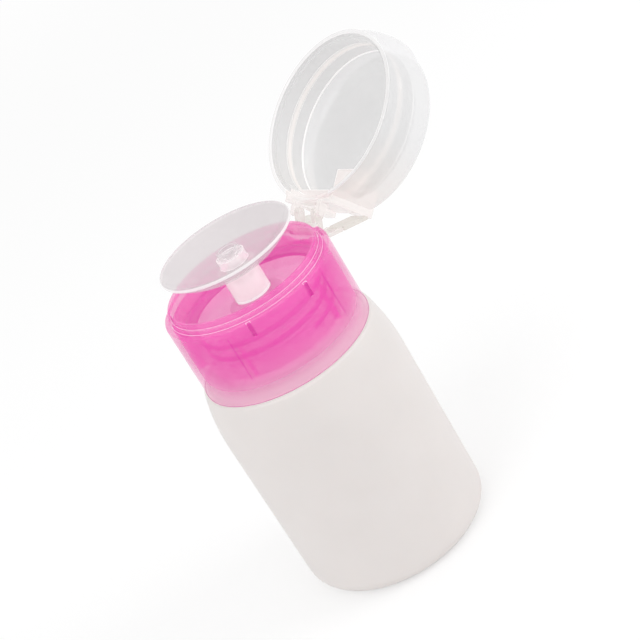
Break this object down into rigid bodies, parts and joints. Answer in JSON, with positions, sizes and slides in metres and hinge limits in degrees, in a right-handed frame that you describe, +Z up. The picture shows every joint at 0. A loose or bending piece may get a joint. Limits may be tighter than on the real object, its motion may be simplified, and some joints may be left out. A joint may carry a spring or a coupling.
{
  "type": "nail polish remover pump",
  "caption": "Push-down dispenser bottle: pressing the saucer lifts remover through a sprung pump onto a cotton pad; a hinged flip lid covers the saucer, and the pump unscrews with its collar.",
  "frame": {"origin": "middle of the bottle's foot, on the surface it stands on", "axes": "+Z is up along the bottle's axis, +Y points to the lid's hinge, -Y to the lid's thumb lip when it is shut"},
  "size_m": [0.045, 0.0848, 0.1003],
  "materials": {
    "frosted_bottle": "frosted translucent",
    "pink_collar": "translucent hot pink, smooth",
    "clear_hinge": "natural clear, smooth",
    "clear_lid": "natural clear, smooth",
    "white_dish": "milky white, smooth",
    "clear_insert": "clear, smooth",
    "white_pump": "natural white",
    "steel_ball": "polished",
    "gasket": "soft matt",
    "spring_steel": "bright wire",
    "clear_tube": "natural clear"
  },
  "bodies": {
    "bottle": {"bottle": "frosted_bottle"},
    "pump_unit": {"neck_gasket": "gasket", "pump_cylinder": "white_pump", "cylinder_retainer": "white_pump", "return_spring": "spring_steel", "dip_tube": "clear_tube"},
    "collar": {"collar": "pink_collar", "hinge_base": "clear_hinge"},
    "lid": {"flip_lid": "clear_lid"},
    "straps": {"strap_left": "clear_hinge", "strap_right": "clear_hinge"},
    "press_head": {"press_dish": "white_dish", "nozzle_insert": "clear_insert", "piston_stem": "white_pump", "piston": "white_pump"},
    "inlet_valve": {"inlet_ball": "steel_ball"},
    "outlet_valve": {"outlet_ball": "steel_ball"}
  },
  "joints": [
    {"name": "pump_lift", "type": "slide", "parent": "bottle", "child": "pump_unit", "axis": [0, 0, 1], "range_m": [0, 0.00601]},
    {"name": "collar_turn", "type": "hinge", "parent": "pump_unit", "child": "collar", "pos_m": [0, 0, 0.0551], "axis": [0, 0, 1], "range_deg": [0, 720]},
    {"name": "lid_hinge", "type": "hinge", "parent": "collar", "child": "lid", "pos_m": [0, 0.02176, 0.0748], "axis": [-1, 0, 0], "range_deg": [-144, 0]},
    {"name": "strap_swing", "type": "hinge", "parent": "collar", "child": "straps", "pos_m": [0, 0.0205, 0.07105], "axis": [-1, 0, 0], "range_deg": [-107, 0.1]},
    {"name": "dish_press", "type": "slide", "parent": "pump_unit", "child": "press_head", "axis": [0, 0, 1], "range_m": [-0.005, 0], "stiffness_N_per_m": 600, "springref_m": 0.0003, "deforming": ["return_spring"]},
    {"name": "inlet_ball_lift", "type": "slide", "parent": "pump_unit", "child": "inlet_valve", "axis": [0, 0, 1], "range_m": [0, 0.0015]},
    {"name": "outlet_ball_lift", "type": "slide", "parent": "press_head", "child": "outlet_valve", "axis": [0, 0, 1], "range_m": [0, 0.0005]}
  ],
  "couplings": [
    {"joint": "pump_lift", "follows": "collar_turn", "m_per_rad": 0.00047746},
    {"joint": "strap_swing", "follows": "lid_hinge", "ratio": 0.74166}
  ]
}
